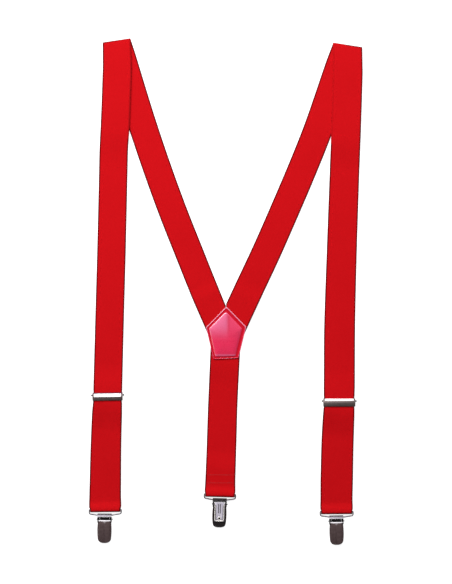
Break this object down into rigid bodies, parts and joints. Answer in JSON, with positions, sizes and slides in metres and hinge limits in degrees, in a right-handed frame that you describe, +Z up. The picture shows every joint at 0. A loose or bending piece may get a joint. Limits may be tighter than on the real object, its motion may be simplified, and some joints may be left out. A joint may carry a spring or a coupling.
{
  "type": "suspenders",
  "caption": "Y-back elastic suspenders with clips, slide adjusters and a glossy padded yoke, laid flat with the front straps folded over at the shoulders.",
  "frame": {"origin": "centre of the footprint on the surface that the suspenders lie on", "axes": "+Y from the clips to the shoulder folds, +X to the right as seen from above, +Z up from the surface"},
  "size_m": [0.3255, 0.6003, 0.0072],
  "materials": {
    "webbing": "woven elastic, matt",
    "yoke_cover": "glossy",
    "yoke_backing": "satin",
    "padding": "foam",
    "adjuster": "nickel plated",
    "wire": "nickel plated",
    "clip": "satin nickel",
    "lever": "bright nickel"
  },
  "bodies": {
    "back": {"yoke_backing": "yoke_backing", "yoke_cover": "yoke_cover", "yoke_padding": "padding", "left_diagonal": "webbing", "right_diagonal": "webbing", "rear_strap": "webbing"},
    "left_front": {"left_front_strap": "webbing"},
    "left_adjuster": {"left_adjuster_frame": "adjuster"},
    "left_flap": {"left_adjuster_flap": "adjuster"},
    "left_end": {"left_lower_strap": "webbing"},
    "right_front": {"right_front_strap": "webbing"},
    "right_adjuster": {"right_adjuster_frame": "adjuster"},
    "right_flap": {"right_adjuster_flap": "adjuster"},
    "right_end": {"right_lower_strap": "webbing"},
    "left_loop": {"left_wire_loop": "wire"},
    "left_clip": {"left_clip_body": "clip", "left_clip_pin": "clip"},
    "left_jaw": {"left_clip_jaw": "clip"},
    "left_lever": {"left_clip_lever": "lever"},
    "right_loop": {"right_wire_loop": "wire"},
    "right_clip": {"right_clip_body": "clip", "right_clip_pin": "clip"},
    "right_jaw": {"right_clip_jaw": "clip"},
    "right_lever": {"right_clip_lever": "lever"},
    "rear_loop": {"rear_wire_loop": "wire"},
    "rear_clip": {"rear_clip_body": "clip", "rear_clip_pin": "clip"},
    "rear_jaw": {"rear_clip_jaw": "clip"},
    "rear_lever": {"rear_clip_lever": "lever"}
  },
  "joints": [
    {"name": "left_shoulder_fold", "type": "hinge", "parent": "back", "child": "left_front", "pos_m": [-0.1293, 0.29895, 0.00145], "axis": [-0.9894, -0.1453, 0], "range_deg": [0, 175]},
    {"name": "left_adjuster_slide", "type": "slide", "parent": "left_front", "child": "left_adjuster", "axis": [0.0255, 0.9997, 0], "range_m": [-0.12, 0.15], "deforming": ["left_front_strap"]},
    {"name": "left_strap_end_slide", "type": "slide", "parent": "left_adjuster", "child": "left_end", "axis": [0.0255, 0.9997, 0], "range_m": [-0.075, 0.06], "deforming": ["left_lower_strap"]},
    {"name": "left_flap_hinge", "type": "hinge", "parent": "left_adjuster", "child": "left_flap", "pos_m": [-0.14042, -0.1217, 0.001], "axis": [0.9999, 0.0157, 0], "range_deg": [0, 75]},
    {"name": "right_shoulder_fold", "type": "hinge", "parent": "back", "child": "right_front", "pos_m": [0.1441, 0.29375, 0.00145], "axis": [-0.9875, 0.1576, 0], "range_deg": [0, 175]},
    {"name": "right_adjuster_slide", "type": "slide", "parent": "right_front", "child": "right_adjuster", "axis": [0.019, 0.9998, 0], "range_m": [-0.12, 0.15], "deforming": ["right_front_strap"]},
    {"name": "right_strap_end_slide", "type": "slide", "parent": "right_adjuster", "child": "right_end", "axis": [0.019, 0.9998, 0], "range_m": [-0.075, 0.06], "deforming": ["right_lower_strap"]},
    {"name": "right_flap_hinge", "type": "hinge", "parent": "right_adjuster", "child": "right_flap", "pos_m": [0.1343, -0.1288, 0.001], "axis": [1, 0, 0], "range_deg": [0, 75]},
    {"name": "left_loop_swing", "type": "hinge", "parent": "left_end", "child": "left_loop", "pos_m": [-0.14325, -0.2575, 0.0024], "axis": [-0.9999, -0.0111, 0], "range_deg": [0, 30]},
    {"name": "left_clip_swing", "type": "hinge", "parent": "left_loop", "child": "left_clip", "pos_m": [-0.14398, -0.26396, 0.0038], "axis": [-0.9999, -0.0111, 0], "range_deg": [0, 45]},
    {"name": "left_lever_hinge", "type": "hinge", "parent": "left_clip", "child": "left_lever", "pos_m": [-0.14401, -0.26896, 0.0018], "axis": [1, -0.0063, 0], "range_deg": [0, 90]},
    {"name": "left_jaw_hinge", "type": "hinge", "parent": "left_clip", "child": "left_jaw", "pos_m": [-0.14401, -0.26896, 0.0018], "axis": [1, -0.0063, 0], "range_deg": [0, 14]},
    {"name": "right_loop_swing", "type": "hinge", "parent": "right_end", "child": "right_loop", "pos_m": [0.13117, -0.2597, 0.0024], "axis": [-1, -0.0056, 0], "range_deg": [0, 30]},
    {"name": "right_clip_swing", "type": "hinge", "parent": "right_loop", "child": "right_clip", "pos_m": [0.13071, -0.26615, 0.0038], "axis": [-1, -0.0056, 0], "range_deg": [0, 45]},
    {"name": "right_lever_hinge", "type": "hinge", "parent": "right_clip", "child": "right_lever", "pos_m": [0.13081, -0.27115, 0.0018], "axis": [0.9998, 0.0195, 0], "range_deg": [0, 90]},
    {"name": "right_jaw_hinge", "type": "hinge", "parent": "right_clip", "child": "right_jaw", "pos_m": [0.13081, -0.27115, 0.0018], "axis": [0.9998, 0.0195, 0], "range_deg": [0, 14]},
    {"name": "rear_loop_swing", "type": "hinge", "parent": "back", "child": "rear_loop", "pos_m": [-0.00722, -0.2393, 0.0024], "axis": [-0.9996, 0.0273, 0], "range_deg": [0, 60]},
    {"name": "rear_clip_swing", "type": "hinge", "parent": "rear_loop", "child": "rear_clip", "pos_m": [-0.0074, -0.24588, 0.0019], "axis": [-0.9996, 0.0273, 0], "range_deg": [0, 45]},
    {"name": "rear_lever_hinge", "type": "hinge", "parent": "rear_clip", "child": "rear_lever", "pos_m": [-0.00753, -0.25088, 0.0039], "axis": [-0.9996, 0.0273, 0], "range_deg": [0, 90]},
    {"name": "rear_jaw_hinge", "type": "hinge", "parent": "rear_clip", "child": "rear_jaw", "pos_m": [-0.00753, -0.25088, 0.0039], "axis": [-0.9996, 0.0273, 0], "range_deg": [0, 14]}
  ],
  "couplings": [
    {"joint": "left_strap_end_slide", "follows": "left_adjuster_slide", "ratio": -0.5},
    {"joint": "right_strap_end_slide", "follows": "right_adjuster_slide", "ratio": -0.5},
    {"joint": "left_jaw_hinge", "follows": "left_lever_hinge", "ratio": 0.15},
    {"joint": "right_jaw_hinge", "follows": "right_lever_hinge", "ratio": 0.15},
    {"joint": "rear_jaw_hinge", "follows": "rear_lever_hinge", "ratio": 0.15}
  ]
}
